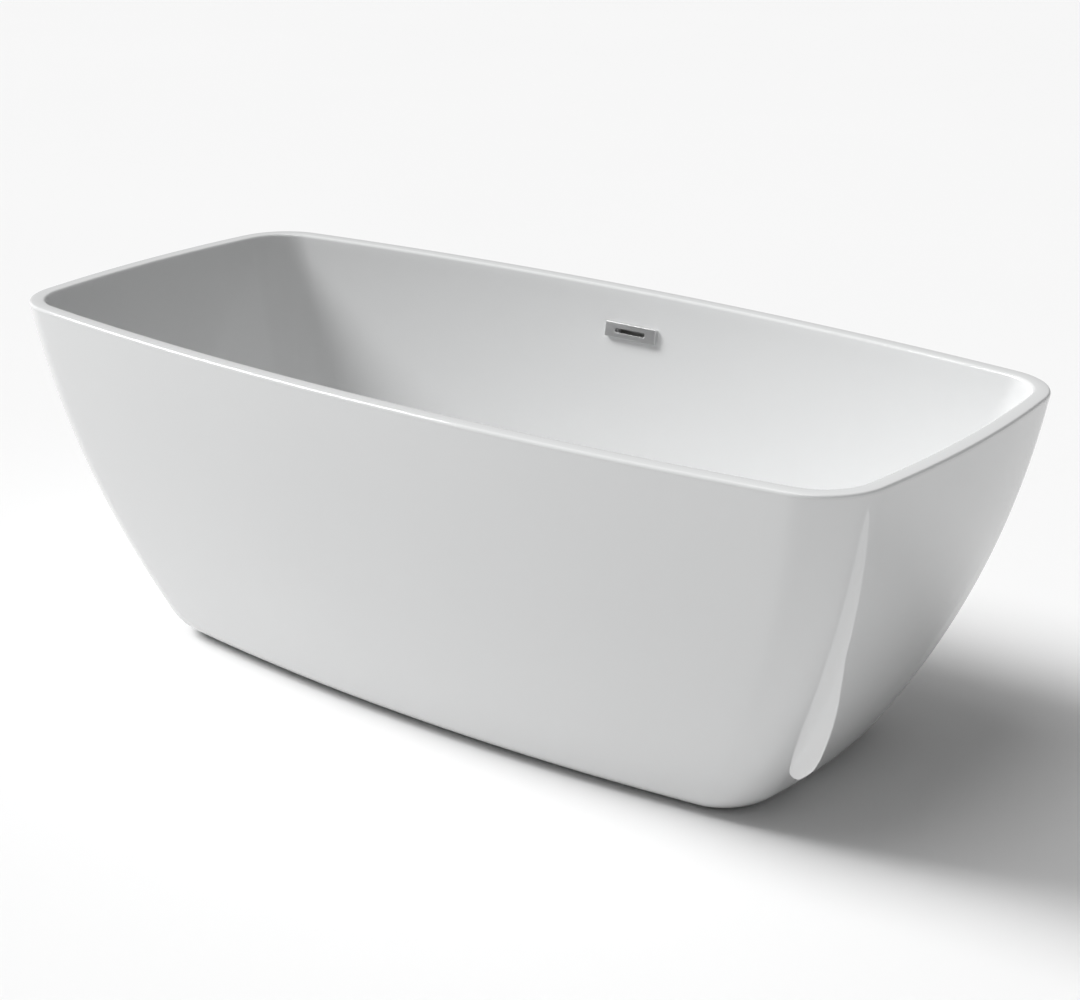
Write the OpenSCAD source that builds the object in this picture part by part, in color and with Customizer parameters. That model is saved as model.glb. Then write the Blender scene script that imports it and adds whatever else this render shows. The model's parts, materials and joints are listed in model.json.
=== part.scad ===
// Freestanding double-skin bath with a centre waste, standing on a levelling frame.
// Millimetres, +Z up, +X along the length, -Y the front long side, +Y the overflow side.
// The origin is on the floor below the middle of the bath.

/* [Bath] */
// Overall length over the rim
bath_length = 1700; // [1650:10:1800]
// Overall width over the rim
bath_width = 790; // [780:5:810]
// Overall height above the floor
bath_height = 600; // [590:5:620]
// Width of the flat rim
rim_width = 28; // [26:1:32]
// Radius of the rim's top edges
rim_edge = 5; // [4:1:6]
// Corner radius of the rim in plan
corner_radius = 112; // [100:1:125]
// Radius of the bowed long sides at the rim
side_bow_radius = 5300; // [5000:50:6000]
// Radius of the bowed ends at the rim
end_bow_radius = 2080; // [2000:20:2400]

/* [Outer skirt] */
// Half the skirt's length where it would meet the floor
skirt_half_length = 616; // [605:1:625]
// Half the skirt's width where it would meet the floor
skirt_half_width = 256.5; // [252:0.5:262]
// Wall thickness of the skirt
skirt_wall = 6; // [5:0.5:7]
// Radius of the turned-under bottom edge
skirt_curve = 42; // [38:1:46]
// Gap between the skirt and the floor
skirt_gap = 3; // [2:0.5:4]

/* [Basin] */
// Wall thickness of the basin
basin_wall = 6; // [5:0.5:6]
// Height of the basin's floor at the waste
floor_height = 160; // [158:1:162]
// Rise of the basin's floor from the waste to its edge
floor_fall = 6; // [4:1:8]
// Half the basin's length at floor level, before its edge is rounded
basin_half_length = 600; // [590:1:605]
// Half the basin's width at floor level, before its edge is rounded
basin_half_width = 242; // [240:1:244]
// Radius between the basin's walls and its floor
floor_curve = 55; // [50:1:56]

/* [Frame] */
// Side of the square steel tube
tube_size = 25; // [22:1:26]
// Wall of the square steel tube
tube_wall = 1.5; // [1.5:0.5:2]
// Length of the two long rails
rail_length = 1050; // [1040:5:1060]
// Distance of each long rail from the middle
rail_y = 160; // [156:1:164]
// Thickness of the wooden base board
board_thickness = 12; // [10:1:12]

/* [Feet] */
// Distance of each foot from the middle, along the length
foot_x = 460; // [440:5:465]
// Distance of each foot from the middle, across the width
foot_y = 128; // [124:1:130]
// Thread radius of the foot stud
stud_radius = 6; // [5:0.5:6]
// Radius of the foot pad
pad_radius = 22; // [18:1:24]

/* [Waste and overflow] */
// Radius of the waste hole in the floor
waste_hole_radius = 26; // [26:0.5:28]
// Radius of the pipe that leaves the trap
outlet_radius = 20; // [19:0.5:20]
// Height of the middle of the overflow cover
overflow_height = 527; // [524:1:532]
// Length of the overflow cover
cover_length = 105; // [102:1:110]
// Height of the overflow cover
cover_height = 26; // [25:1:28]
// Radius of the overflow hose
hose_radius = 10; // [9:0.5:10]

/* [Hidden] */

$fn = 48;
eps = 0.01;
running_gap = 0.06;
half_length = bath_length / 2;
half_width = bath_width / 2;

// Shape of the outer wall: its straight share, the power of its curve, and its radii at the floor
end_straight = 0.37;
end_power = 2.22;
side_straight = 0.494;
side_power = 2.025;
skirt_corner_radius = 95;
side_bow_keep = 0.777;
end_bow_keep = 0.524;

// Shape of the basin's wall
basin_straight = 0.4;
basin_power = 1.8;
basin_corner_radius = 110;

// Number of straight steps in each arc of the plan outline and up each wall
end_steps = 4;
corner_steps = 8;
side_steps = 6;
wall_steps = 8;

// The joint line below the rim, and the bonding lip inside the skirt
seam_height = bath_height - rim_edge - 1;
lip_inset = skirt_wall + 1;
lip_thickness = 5;
lip_drop = 30;
flange_inset = 50;
flange_thickness = 5;

// Heights of the layers under the basin
floor_edge_height = floor_height + floor_fall;
floor_underside = floor_height - basin_wall;
frame_top = floor_underside - board_thickness;
frame_bottom = frame_top - tube_size;
drain_circle_radius = 40;

board_half_length = 535;
board_half_width = 180;
board_corner = 30;
board_hole_radius = 48;
cross_x = [-rail_length / 2 + tube_size / 2, -140, 140, rail_length / 2 - tube_size / 2];
screw_x = [30 - foot_x, -220, 220, foot_x - 30];
screw_radius = 2.5;
screw_head_radius = 5;
screw_head_height = 3;

plate_thickness = 3;
plate_width = 44;
nut_height = 10;
lock_nut_height = 7;
nut_radius = 10.5;
nut_bore_radius = stud_radius + running_gap;
stud_bottom = 9.1;
stud_top = frame_top - 4;
stud_hex_radius = 10;
pad_height = 8;
pad_boss_radius = 11;
pad_boss_top = 20;

strip_thickness = 2.5;
strip_width = 30;
side_bracket_x = 300;

// The waste, from the flange in the floor down to the trap
seal_thickness = 1;
bottom_seal_thickness = 2;
recess_depth = 2;
recess_radius = 36;
flange_radius = 35.5;
flange_thickness_top = 2.5;
tail_radius = waste_hole_radius - 0.5;
tail_bore_radius = tail_radius - 3;
tail_bottom = 118;
flange_top = floor_height - recess_depth + seal_thickness + flange_thickness_top;
body_top = floor_underside - bottom_seal_thickness;
body_flange_radius = 40;
body_radius = 31;
body_bore_radius = tail_radius + 0.1;
body_bottom = 76;
body_tail_radius = 20;
body_tail_bottom = 56;
inlet_height = 92;
inlet_end = 62;

// The push plug and its sprung cartridge
stem_radius = 4;
cap_radius = 31;
cap_gap = 0.1;
cap_seal_thickness = 1.4;
cap_thickness = 3.5;
cartridge_radius = 8;
cartridge_top = 152;
chamber_radius = 6.4;
chamber_bottom = 112;
chamber_top = 146;
stem_bottom = 128;
stem_head_radius = 5.8;
spring_radius = 4.4;
spring_wire = 0.7;
spring_turns = 5;

// The trap under the waste
trap_radius = 44;
trap_wall = 3;
trap_bottom = 12;
trap_top = 50;
trap_neck_radius = 25;
trap_neck_top = 64;
trap_nut_radius = 30;
outlet_height = 38;
outlet_bore_radius = outlet_radius - 2.2;
socket_radius = 24;
socket_start = 36;
socket_end = 66;
outlet_start = 50;
outlet_collar = 122;
outlet_end = 200;

// The overflow, in a frame that leans with the basin's wall
carrier_thickness = 2;
carrier_gap = 1.2;
cover_depth = 7.5;
cover_sheet = 1.5;
slot_length = 64;
slot_height = 8;
neck_length = 60;
neck_height = 14;
overflow_wall = 2;
gasket_thickness = 1.5;
chamber_depth = 13;
spout_length = 34;
spout_depth = 12;
spout_end = 128;
coupling_end = 150;
coupling_radius = 12;
coupling_shift = 2.2;
coupling_grip = 8;
overflow_screw_x = 40;
// Middle line of the overflow hose below its coupling, in the plane x = 0, as [y, z]
hose_route = [[333, 352], [324.5, 322], [316, 292], [306, 262], [295.5, 232], [284.5, 205],
    [273, 180], [259, 156], [242, 135], [222, 117], [200, 104], [176, 96], [150, 92.5], [124, 92],
    [98, 92], [72, 92], [48, 92]];

// Plain helpers

function mix(from, to, share) = from + (to - from) * share;

// How far a wall has come in, from 0 at the rim to 1 at its foot
function drawn_in(share, straight, power) = straight * share + (1 - straight) * pow(share, power);

function arc(centre, radius, start, stop, steps) = [
    for (i = [0 : steps - 1])
        centre + radius * [cos(mix(start, stop, i / steps)), sin(mix(start, stop, i / steps))]
];

// Middle of the corner arc that touches the end arc and the side arc from inside.
// A section is [half length, half width, corner radius, side radius, end radius].
function corner_centre(section) =
    let(side = [0, section[1] - section[3]], end = [section[0] - section[4], 0])
    let(to_side = section[3] - section[2], to_end = section[4] - section[2])
    let(step = end - side, gap = norm(step))
    let(along = (to_side * to_side - to_end * to_end + gap * gap) / (2 * gap))
    side + step * along / gap + [step.y, -step.x] * sqrt(to_side * to_side - along * along) / gap;

// One quarter of the plan outline, from the middle of the end to the middle of the side
function quarter(section) =
    let(side = [0, section[1] - section[3]], end = [section[0] - section[4], 0])
    let(corner = corner_centre(section))
    let(turn_in = atan2(corner.y - end.y, corner.x - end.x))
    let(turn_out = atan2(corner.y - side.y, corner.x - side.x))
    concat(
        arc(end, section[4], 0, turn_in, end_steps),
        arc(corner, section[2], turn_in, turn_out, corner_steps),
        arc(side, section[3], turn_out, 90, side_steps),
        [[0, section[1]]]
    );

function outline(section) =
    let(part = quarter(section), last = len(part) - 1)
    concat(
        [for (i = [0 : last - 1]) part[i]],
        [for (i = [last : -1 : 1]) [-part[i].x, part[i].y]],
        [for (i = [0 : last - 1]) -part[i]],
        [for (i = [last : -1 : 1]) [part[i].x, -part[i].y]]
    );

// The skirt's section at a height
function outer_section(z) =
    let(share = 1 - z / bath_height) [
        mix(half_length, skirt_half_length, drawn_in(share, end_straight, end_power)),
        mix(half_width, skirt_half_width, drawn_in(share, side_straight, side_power)),
        mix(corner_radius, skirt_corner_radius, share),
        mix(side_bow_radius, side_bow_radius * side_bow_keep, share),
        mix(end_bow_radius, end_bow_radius * end_bow_keep, share)
    ];

// The basin's section at a height
function inner_section(z) =
    let(share = (bath_height - z) / (bath_height - floor_edge_height))
    let(in = drawn_in(share, basin_straight, basin_power)) [
        mix(half_length - rim_width, basin_half_length, in),
        mix(half_width - rim_width, basin_half_width, in),
        mix(corner_radius - rim_width, basin_corner_radius, share),
        mix(side_bow_radius - rim_width, (side_bow_radius - rim_width) * side_bow_keep, share),
        mix(end_bow_radius - rim_width, (end_bow_radius - rim_width) * end_bow_keep, share)
    ];

function shrunk(section, inset) = [for (value = section) value - inset];
function at_height(points, z) = [for (p = points) [p.x, p.y, z]];
function outer_ring(z, inset) = at_height(outline(shrunk(outer_section(z), inset)), z);
function inner_ring(z, inset) = at_height(outline(shrunk(inner_section(z), inset)), z);

// Distance of the skirt's long side from the middle, x along it
function side_reach(x, z, inset) =
    let(section = shrunk(outer_section(z), inset))
    section[1] - section[3] + sqrt(section[3] * section[3] - x * x);

// A solid skinned over rings of equal length. It is capped, or closed on itself as a tube is.
module skin(rings, closed = false) {
    count = len(rings[0]);
    last = len(rings) - 1;
    walls = [
        for (i = [0 : closed ? last : last - 1])
            for (j = [0 : count - 1])
                let(here = i * count, next = (i == last ? 0 : i + 1) * count, k = (j + 1) % count)
                    each [[here + j, next + k, next + j], [here + j, here + k, next + k]]
    ];
    caps = closed ? [] : [
        [for (j = [count - 1 : -1 : 0]) j],
        [for (j = [0 : count - 1]) last * count + j]
    ];
    polyhedron([for (ring = rings) each ring], concat(walls, caps));
}

// A flat bar with round ends: length along X, height along Z, depth along Y from front to back
module stadium(length, height, front, back) {
    straight = length - height;
    translate([-straight / 2, front, -height / 2])
        cube([straight, back - front, height]);
    for (side = [-1, 1])
        translate([side * straight / 2, front, 0])
            rotate([-90, 0, 0])
                cylinder(h = back - front, d = height);
}

module ring_disc(bottom, top, inner, outer) {
    translate([0, 0, bottom])
        difference() {
            cylinder(h = top - bottom, r = outer);
            translate([0, 0, -1])
                cylinder(h = top - bottom + 2, r = inner);
        }
}

module along_x(x) {
    translate([x, 0, outlet_height])
        rotate([0, 90, 0])
            children();
}

module at_feet() {
    for (x = [-foot_x, foot_x])
        for (y = [-foot_y, foot_y])
            translate([x, y, 0])
                children();
}

module hex_nut(bottom, height, radius, bore) {
    translate([0, 0, bottom])
        difference() {
            cylinder(h = height, r = radius, $fn = 6);
            translate([0, 0, -1])
                cylinder(h = height + 2, r = bore);
        }
}

// Shells

// Height share of step i up a wall, with the steps evenly spaced
function wall_height(from, to, i) = mix(from, to, i / wall_steps);

wall_foot = floor_edge_height + floor_curve;
wall_head = bath_height - rim_edge;
under_curve = floor_curve + floor_edge_height - floor_underside;

function basin_inside() = concat(
    [for (share = [0, 0.5])
        let(edge = inner_ring(floor_edge_height, floor_curve), count = len(edge))
        [for (i = [0 : count - 1])
            let(angle = atan2(edge[i].y, edge[i].x))
            let(middle = [drain_circle_radius * cos(angle), drain_circle_radius * sin(angle), floor_height])
            mix(middle, edge[i], share)]],
    [for (turn = [0 : 15 : 90])
        inner_ring(floor_edge_height + floor_curve * (1 - cos(turn)), floor_curve * (1 - sin(turn)))],
    [for (i = [1 : wall_steps - 1]) inner_ring(wall_height(wall_foot, wall_head, i), 0)],
    [for (turn = [0 : 30 : 90]) inner_ring(wall_head + rim_edge * sin(turn), -rim_edge * (1 - cos(turn)))]
);

function basin_rim() = concat(
    [for (turn = [0 : 30 : 90]) outer_ring(wall_head + rim_edge * cos(turn), rim_edge * (1 - sin(turn)))],
    [outer_ring(seam_height, 0)],
    [outer_ring(seam_height, lip_inset)],
    [outer_ring(seam_height - lip_drop, lip_inset)],
    [outer_ring(seam_height - lip_drop, lip_inset + lip_thickness)],
    [outer_ring(seam_height, lip_inset + lip_thickness)]
);

function basin_outside() = concat(
    [for (i = [wall_steps : -1 : 0]) inner_ring(wall_height(wall_foot, seam_height, i), -basin_wall)],
    [for (turn = [75 : -15 : 0])
        inner_ring(
            wall_foot - under_curve * cos(turn),
            floor_curve - (floor_curve + basin_wall) * sin(turn)
        )]
);

module basin() {
    color("white")
        difference() {
            skin(concat(basin_inside(), basin_rim(), basin_outside()));
            translate([0, 0, floor_underside - 1])
                cylinder(h = 20, r = waste_hole_radius);
            translate([0, 0, floor_height - recess_depth])
                cylinder(h = 20, r = recess_radius);
            in_overflow_frame() {
                stadium(neck_length + 2, neck_height + 2, -10, 12);
                overflow_screw_holes(2.4);
            }
        }
}

module outer_skirt() {
    curve_end = acos((skirt_curve - skirt_gap) / skirt_curve);
    inner_curve = skirt_curve - skirt_wall;
    inner_curve_end = acos((skirt_curve - skirt_gap - flange_thickness) / inner_curve);
    curve_steps = 4;
    color("white")
        difference() {
            skin(concat(
                [for (i = [wall_steps : -1 : 0]) outer_ring(wall_height(skirt_curve, seam_height, i), 0)],
                [for (i = [1 : curve_steps])
                    let(turn = mix(90, curve_end, i / curve_steps))
                    outer_ring(skirt_curve * (1 - cos(turn)), skirt_curve * (1 - sin(turn)))],
                [outer_ring(skirt_gap, flange_inset)],
                [outer_ring(skirt_gap + flange_thickness, flange_inset)],
                [for (i = [0 : curve_steps - 1])
                    let(turn = mix(inner_curve_end, 90, i / curve_steps))
                    outer_ring(skirt_curve - inner_curve * cos(turn), skirt_curve - inner_curve * sin(turn))],
                [for (i = [0 : wall_steps]) outer_ring(wall_height(skirt_curve, seam_height, i), skirt_wall)]
            ), closed = true);
            at_brackets()
                skirt_screw_hole();
        }
}

// Base board and frame

module base_board() {
    color("burlywood")
        difference() {
            translate([0, 0, frame_top])
                linear_extrude(board_thickness)
                    rounded_plate(board_half_length, board_half_width, board_corner);
            translate([0, 0, frame_top - 1])
                cylinder(h = board_thickness + 2, r = board_hole_radius);
            at_frame_screws()
                translate([0, 0, frame_top - 1])
                    cylinder(h = board_thickness - 1, r = screw_radius);
        }
}

module rounded_plate(half_x, half_y, radius) {
    square([2 * half_x - 2 * radius, 2 * half_y], center = true);
    square([2 * half_x, 2 * half_y - 2 * radius], center = true);
    for (x = [-1, 1])
        for (y = [-1, 1])
            translate([x * (half_x - radius), y * (half_y - radius)])
                circle(radius);
}

module square_tube(length) {
    inside = tube_size - 2 * tube_wall;
    translate([-length / 2, -tube_size / 2, frame_bottom])
        difference() {
            cube([length, tube_size, tube_size]);
            translate([-1, tube_wall, tube_wall])
                cube([length + 2, inside, inside]);
        }
}

module at_frame_screws() {
    for (x = screw_x)
        for (y = [-rail_y, rail_y])
            translate([x, y, 0])
                children();
}

module rail(side) {
    color("silver")
        difference() {
            translate([0, side * rail_y, 0])
                square_tube(rail_length);
            at_frame_screws()
                translate([0, 0, frame_bottom - 1])
                    cylinder(h = tube_size + 2, r = screw_radius + 0.2);
            at_brackets()
                bracket_screw_hole();
        }
}

module rail_front() {
    rail(-1);
}

module rail_back() {
    rail(1);
}

module cross_members() {
    color("silver")
        difference() {
            for (x = cross_x)
                translate([x, 0, 0])
                    rotate([0, 0, 90])
                        square_tube(2 * rail_y - tube_size);
            at_brackets()
                bracket_screw_hole();
        }
}

module rail_end_caps() {
    inside = tube_size - 2 * tube_wall;
    color("dimgray")
        for (x = [-1, 1])
            for (y = [-1, 1])
                translate([x * rail_length / 2, y * rail_y, frame_bottom + tube_size / 2]) {
                    translate([x, 0, 0])
                        cube([2, tube_size, tube_size], center = true);
                    translate([-x * 6, 0, 0])
                        cube([12, inside - 0.2, inside - 0.2], center = true);
                }
}

module foot_brackets() {
    reach = rail_y + tube_size / 2 - foot_y + plate_width / 2;
    color("silver")
        difference() {
            for (x = [-foot_x, foot_x])
                for (side = [-1, 1])
                    translate([x, side * (foot_y - plate_width / 2 + reach / 2), frame_bottom - plate_thickness / 2])
                        cube([plate_width, reach, plate_thickness], center = true);
            at_feet()
                translate([0, 0, frame_bottom - plate_thickness - 1])
                    cylinder(h = plate_thickness + 2, r = stud_radius + 0.5);
        }
}

module weld_nuts() {
    color("silver")
        at_feet()
            hex_nut(frame_bottom, nut_height, nut_radius, nut_bore_radius);
}

module lock_nuts() {
    color("silver")
        at_feet()
            hex_nut(frame_bottom - plate_thickness - lock_nut_height, lock_nut_height, nut_radius, nut_bore_radius);
}

module frame_screws() {
    color("silver")
        at_frame_screws() {
            translate([0, 0, frame_bottom - screw_head_height])
                cylinder(h = screw_head_height, r = screw_head_radius);
            translate([0, 0, frame_bottom - eps])
                cylinder(h = tube_size + board_thickness - 3, r = screw_radius - 0.1);
        }
}

// Levelling feet

module foot_stud(x, y) {
    color("silver")
        translate([x, y, 0]) {
            translate([0, 0, stud_bottom])
                cylinder(h = stud_top - stud_bottom, r = stud_radius);
            translate([0, 0, pad_boss_top + 1])
                cylinder(h = 6, r = stud_hex_radius, $fn = 6);
        }
}

module foot_pad(x, y) {
    color("dimgray")
        translate([x, y, 0])
            difference() {
                rotate_extrude()
                    polygon([[0, 0], [pad_radius - 1, 0], [pad_radius, 1], [pad_radius, pad_height - 1],
                        [pad_radius - 1, pad_height], [pad_boss_radius, pad_height + 2],
                        [pad_boss_radius, pad_boss_top], [0, pad_boss_top]]);
                translate([0, 0, 9])
                    cylinder(h = 20, r = stud_radius + running_gap);
            }
}

module foot_stud_front_left() {
    foot_stud(-foot_x, -foot_y);
}

module foot_stud_front_right() {
    foot_stud(foot_x, -foot_y);
}

module foot_stud_back_left() {
    foot_stud(-foot_x, foot_y);
}

module foot_stud_back_right() {
    foot_stud(foot_x, foot_y);
}

module foot_pad_front_left() {
    foot_pad(-foot_x, -foot_y);
}

module foot_pad_front_right() {
    foot_pad(foot_x, -foot_y);
}

module foot_pad_back_left() {
    foot_pad(-foot_x, foot_y);
}

module foot_pad_back_right() {
    foot_pad(foot_x, foot_y);
}

// Brackets that hold the skirt's turned-under edge to the frame.
// Each is drawn as if it ran out along +Y, from the tube's middle line at y = 0.

function side_run() = side_reach(side_bracket_x, skirt_gap, flange_inset) - rail_y;
function end_run() = outer_section(skirt_gap)[0] - flange_inset - cross_x[3];

module at_brackets() {
    for (x = [-side_bracket_x, side_bracket_x])
        for (side = [-1, 1])
            translate([x, side * rail_y, 0])
                rotate([0, 0, side > 0 ? 0 : 180]) {
                    $bracket_run = side_run();
                    children();
                }
    for (side = [-1, 1])
        translate([side * cross_x[3], 0, 0])
            rotate([0, 0, side > 0 ? -90 : 90]) {
                $bracket_run = end_run();
                children();
            }
}

bracket_foot = 15;
bracket_screw_inset = 7.5;

module skirt_screw_hole() {
    translate([0, $bracket_run + bracket_screw_inset, skirt_gap + 1])
        cylinder(h = 20, r = screw_radius);
}

module bracket_screw_hole() {
    translate([0, 0, frame_bottom - 10])
        cylinder(h = 14, r = screw_radius);
}

module skirt_brackets() {
    top = frame_bottom;
    foot = skirt_gap + flange_thickness;
    color("silver")
        at_brackets()
            difference() {
                union() {
                    translate([-strip_width / 2, -tube_size / 2, top - strip_thickness])
                        cube([strip_width, $bracket_run + bracket_foot + tube_size / 2, strip_thickness]);
                    translate([-strip_width / 2, $bracket_run + bracket_foot - strip_thickness, foot])
                        cube([strip_width, strip_thickness, top - foot]);
                    translate([-strip_width / 2, $bracket_run + 1, foot])
                        cube([strip_width, bracket_foot - 1, strip_thickness]);
                }
                bracket_screw_hole();
                skirt_screw_hole();
            }
}

module bracket_screws() {
    color("silver")
        at_brackets()
            translate([0, 0, frame_bottom - strip_thickness]) {
                translate([0, 0, -screw_head_height])
                    cylinder(h = screw_head_height, r = screw_head_radius);
                translate([0, 0, -eps])
                    cylinder(h = 6, r = screw_radius - 0.1);
            }
}

module skirt_screws() {
    length = flange_thickness + strip_thickness - 1.5;
    color("silver")
        at_brackets()
            translate([0, $bracket_run + bracket_screw_inset, skirt_gap + flange_thickness + strip_thickness]) {
                cylinder(h = 2, r = 4);
                translate([0, 0, -length])
                    cylinder(h = length + eps, r = screw_radius - 0.1);
            }
}

// Waste

module waste_flange() {
    lip = flange_top - flange_thickness_top;
    color("silver")
        rotate_extrude()
            polygon([[tail_bore_radius, tail_bottom], [tail_radius, tail_bottom], [tail_radius, lip],
                [flange_radius, lip], [flange_radius, flange_top - 1], [flange_radius - 1, flange_top],
                [tail_bore_radius + 1, flange_top], [tail_bore_radius, flange_top - 1]]);
}

module waste_top_seal() {
    seat = floor_height - recess_depth;
    color("black")
        ring_disc(seat, seat + seal_thickness, waste_hole_radius + 0.5, flange_radius - 0.5);
}

module waste_bottom_seal() {
    color("black")
        ring_disc(body_top, floor_underside, waste_hole_radius + 0.5, body_flange_radius - 1);
}

module waste_body() {
    color("white")
        difference() {
            union() {
                translate([0, 0, body_top - 3])
                    cylinder(h = 3, r = body_flange_radius);
                translate([0, 0, body_bottom])
                    cylinder(h = body_top - body_bottom - 1, r = body_radius);
                translate([0, 0, body_tail_bottom])
                    cylinder(h = body_bottom - body_tail_bottom + 1, r = body_tail_radius);
                translate([0, 20, inlet_height])
                    rotate([-90, 0, 0])
                        cylinder(h = inlet_end - 20, r = hose_radius + 4);
            }
            translate([0, 0, body_bottom + 4])
                cylinder(h = 100, r = body_bore_radius);
            translate([0, 0, body_tail_bottom - 1])
                cylinder(h = 40, r = body_tail_radius - 3);
            translate([0, 0, inlet_height])
                rotate([-90, 0, 0])
                    cylinder(h = 100, r = hose_radius - 3);
            translate([0, 45, inlet_height])
                rotate([-90, 0, 0])
                    cylinder(h = 100, r = hose_radius + 0.3);
        }
}

module plug_cartridge() {
    spoke = 4;
    spoke_bottom = 121;
    color("dimgray")
        difference() {
            union() {
                translate([0, 0, chamber_bottom - 3])
                    cylinder(h = cartridge_top - chamber_bottom + 3, r = cartridge_radius);
                intersection() {
                    translate([0, 0, spoke_bottom])
                        cylinder(h = 6, r = tail_bore_radius - 0.1);
                    for (turn = [0, 90])
                        rotate([0, 0, turn])
                            translate([-30, -spoke / 2, spoke_bottom])
                                cube([60, spoke, 6]);
                }
            }
            translate([0, 0, chamber_bottom])
                cylinder(h = chamber_top - chamber_bottom, r = chamber_radius);
            translate([0, 0, chamber_bottom])
                cylinder(h = 100, r = stem_radius + running_gap);
        }
}

// Coil spring under the stem, as a six-sided wire
module plug_spring() {
    bottom = chamber_bottom + spring_wire + 0.1;
    rise = stem_bottom - chamber_bottom - 2 * spring_wire - 0.2;
    steps = spring_turns * 16;
    color("silver")
        skin([
            for (i = [0 : steps])
                let(turn = 360 * spring_turns * i / steps)
                [for (corner = [0 : 60 : 300])
                    let(reach = spring_radius + spring_wire * cos(corner))
                    [reach * cos(turn), reach * sin(turn), bottom + rise * i / steps + spring_wire * sin(corner)]]
        ]);
}

module plug_stem() {
    color("silver") {
        translate([0, 0, stem_bottom])
            cylinder(h = 4, r = stem_head_radius);
        translate([0, 0, stem_bottom])
            cylinder(h = flange_top + cap_gap + cap_seal_thickness - stem_bottom, r = stem_radius);
    }
}

module plug_seal() {
    bottom = flange_top + cap_gap;
    color("black")
        ring_disc(bottom, bottom + cap_seal_thickness, tail_bore_radius + 1, cap_radius - 2);
}

module plug_cap() {
    bottom = flange_top + cap_gap + cap_seal_thickness;
    color("silver")
        rotate_extrude()
            polygon([[0, bottom], [cap_radius - 1, bottom], [cap_radius, bottom + 0.8],
                [cap_radius, bottom + 1.6], [cap_radius - 1.5, bottom + 2.4],
                [cap_radius * 0.6, bottom + cap_thickness - 0.4], [0, bottom + cap_thickness]]);
}

// Trap

module trap_bowl() {
    color("white")
        difference() {
            union() {
                translate([0, 0, trap_bottom])
                    cylinder(h = trap_top - trap_bottom, r = trap_radius);
                translate([0, 0, trap_top - 1])
                    cylinder(h = trap_neck_top - trap_top + 1, r = trap_neck_radius);
                along_x(socket_start)
                    cylinder(h = socket_end - socket_start, r = socket_radius);
            }
            translate([0, 0, trap_bottom + trap_wall])
                cylinder(h = trap_top - trap_bottom - 2 * trap_wall, r = trap_radius - trap_wall);
            translate([0, 0, trap_top - trap_wall - 1])
                cylinder(h = 40, r = body_tail_radius + 0.3);
            along_x(socket_start - 10)
                cylinder(h = 60, r = outlet_radius + 0.2);
        }
}

module trap_nut() {
    grips = 12;
    bottom = trap_neck_top - 8;
    color("white")
        difference() {
            union() {
                translate([0, 0, bottom])
                    cylinder(h = 14, r = trap_nut_radius - 1);
                for (turn = [0 : 360 / grips : 359])
                    rotate([0, 0, turn])
                        translate([trap_nut_radius - 2, -2.5, bottom])
                            cube([2.5, 5, 14]);
            }
            translate([0, 0, bottom - 1])
                cylinder(h = 9 + 2, r = trap_neck_radius + 0.1);
            translate([0, 0, bottom])
                cylinder(h = 20, r = body_tail_radius + 0.2);
        }
}

module trap_seal() {
    color("black")
        ring_disc(trap_neck_top, trap_neck_top + 2, body_tail_radius + 0.1, trap_neck_radius);
}

module outlet_nut() {
    grips = 12;
    start = socket_end - 10;
    color("white")
        along_x(start)
            difference() {
                union() {
                    cylinder(h = 16, r = 27);
                    for (turn = [0 : 360 / grips : 359])
                        rotate([0, 0, turn])
                            translate([26, -2.5, 0])
                                cube([2.5, 5, 16]);
                }
                translate([0, 0, -1])
                    cylinder(h = 13, r = socket_radius + 0.1);
                translate([0, 0, -1])
                    cylinder(h = 20, r = outlet_radius + 0.2);
            }
}

module outlet_seal() {
    color("black")
        along_x(socket_end)
            difference() {
                cylinder(h = 2, r = socket_radius);
                translate([0, 0, -1])
                    cylinder(h = 4, r = outlet_radius + 0.1);
            }
}

module outlet_pipe() {
    color("white")
        along_x(outlet_start)
            difference() {
                union() {
                    cylinder(h = outlet_end - outlet_start, r = outlet_radius);
                    translate([0, 0, outlet_collar - outlet_start])
                        cylinder(h = 4, r = outlet_radius + 3);
                }
                translate([0, 0, -1])
                    cylinder(h = outlet_end - outlet_start + 2, r = outlet_bore_radius);
            }
}

// Overflow. In its frame, y = 0 is the basin's wall, +y goes out through it and z runs up it.

overflow_wall_y = inner_section(overflow_height)[1];
overflow_lean = atan2(
    inner_section(overflow_height + 10)[1] - inner_section(overflow_height - 10)[1], 20);

module in_overflow_frame() {
    translate([0, overflow_wall_y, overflow_height])
        rotate([-overflow_lean, 0, 0])
            children();
}

module overflow_screw_holes(radius) {
    for (side = [-1, 1])
        translate([side * overflow_screw_x, -10, 0])
            rotate([-90, 0, 0])
                cylinder(h = 40, r = radius);
}

module flat_box(length, height, front, back) {
    translate([-length / 2, front, -height / 2])
        cube([length, back - front, height]);
}

module overflow_cover() {
    color("darkgray")
        in_overflow_frame()
            difference() {
                flat_box(cover_length, cover_height, -cover_depth, -carrier_gap);
                flat_box(cover_length - 2 * cover_sheet, cover_height - 2 * cover_sheet,
                    cover_sheet - cover_depth, 1);
                stadium(slot_length, slot_height, -cover_depth - 1, 0);
            }
}

module overflow_carrier() {
    clearance = 0.4;
    color("dimgray")
        in_overflow_frame()
            difference() {
                union() {
                    flat_box(cover_length - 2 * cover_sheet - clearance, cover_height - 2 * cover_sheet - clearance,
                        -carrier_gap - carrier_thickness, -carrier_gap);
                    stadium(neck_length, neck_height, -carrier_gap - 1, basin_wall + gasket_thickness);
                }
                stadium(neck_length - 2 * overflow_wall, neck_height - 2 * overflow_wall, -10, 20);
                overflow_screw_holes(2.2);
            }
}

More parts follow.
